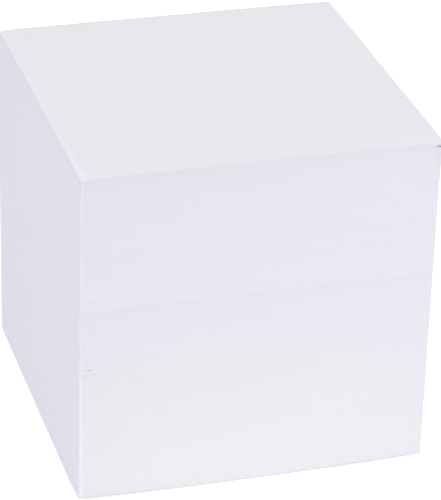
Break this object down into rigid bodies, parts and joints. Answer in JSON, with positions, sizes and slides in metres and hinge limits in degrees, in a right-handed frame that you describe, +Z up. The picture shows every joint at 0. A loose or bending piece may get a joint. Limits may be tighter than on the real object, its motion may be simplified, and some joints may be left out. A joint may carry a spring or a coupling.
{
  "type": "memo cube refill",
  "caption": "Square block of plain white note sheets, glued along one side into a pad that drops into a desk note holder.",
  "frame": {"origin": "middle of the block's underside, on the surface it stands on", "axes": "+Z up through the flat sheets, -Y the front face, -X the glued side and +X the free side"},
  "size_m": [0.091, 0.0905, 0.0896],
  "materials": {
    "paper": "matt uncoated white paper, with the cut sheet edges in fine lines",
    "padding_glue": "dried white padding glue, smooth with a faint sheen"
  },
  "bodies": {
    "root": {"sheet_stack": "paper", "glue_film": "padding_glue"}
  },
  "joints": []
}
